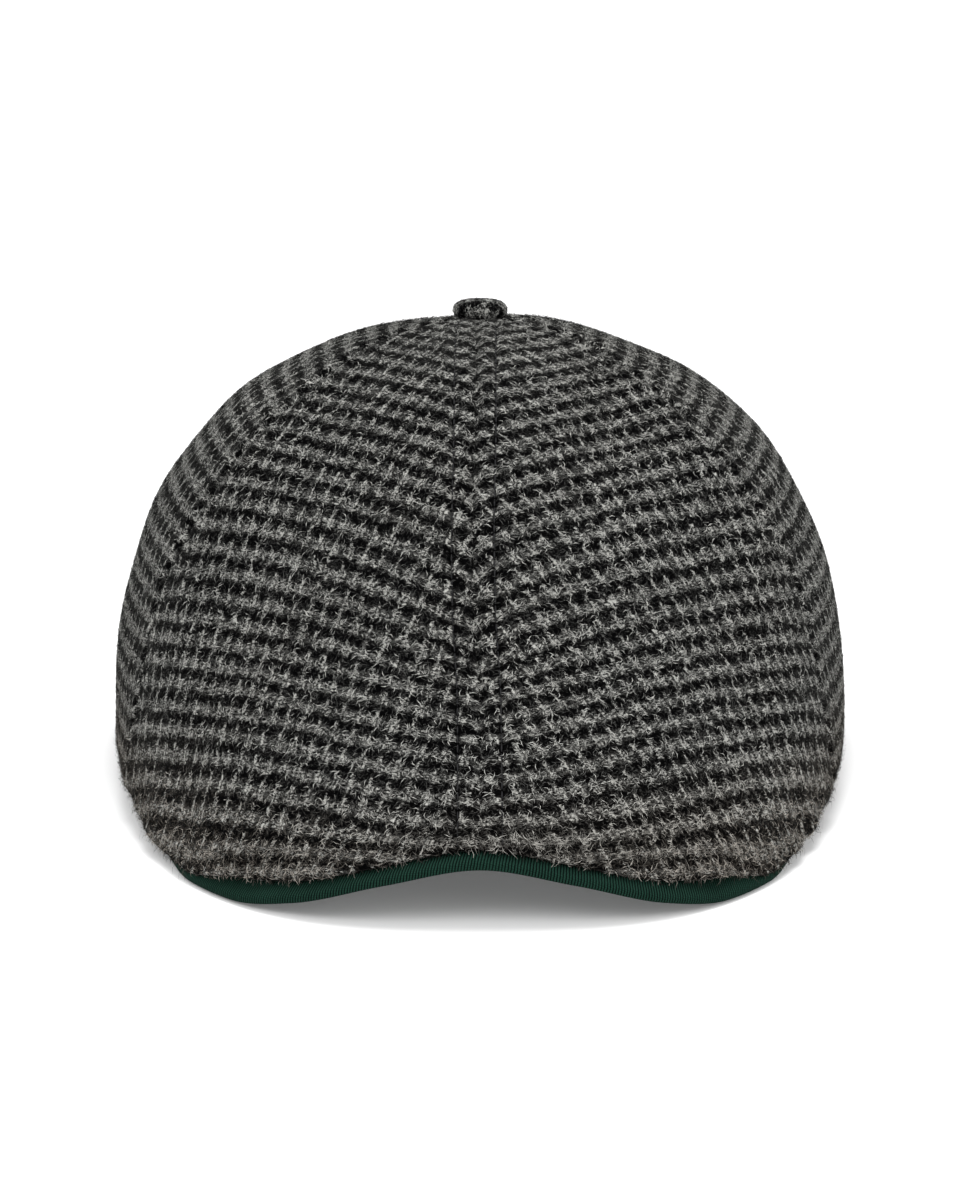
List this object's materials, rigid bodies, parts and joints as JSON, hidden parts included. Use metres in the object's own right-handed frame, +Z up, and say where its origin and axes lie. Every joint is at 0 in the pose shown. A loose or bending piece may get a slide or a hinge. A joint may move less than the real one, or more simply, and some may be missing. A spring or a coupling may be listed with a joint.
{
  "type": "duckbill cap",
  "caption": "Duckbill cap in banded wool tweed with a covered button and a green twill edge round its peak.",
  "frame": {"origin": "on the table, under the middle of the cap's outline", "axes": "+Y towards the back of the cap, +Z up from the table, the peak towards -Y"},
  "size_m": [0.1904, 0.267, 0.1195],
  "materials": {
    "wool_tweed": "matte",
    "green_twill": "matte",
    "band_cloth": "matte"
  },
  "bodies": {
    "root": {"front_panel_left": "wool_tweed", "front_panel_right": "wool_tweed", "side_panel_left": "wool_tweed", "side_panel_right": "wool_tweed", "back_panel_left": "wool_tweed", "back_panel_right": "wool_tweed", "top_button": "wool_tweed", "peak": "green_twill", "sweatband": "band_cloth"}
  },
  "joints": []
}
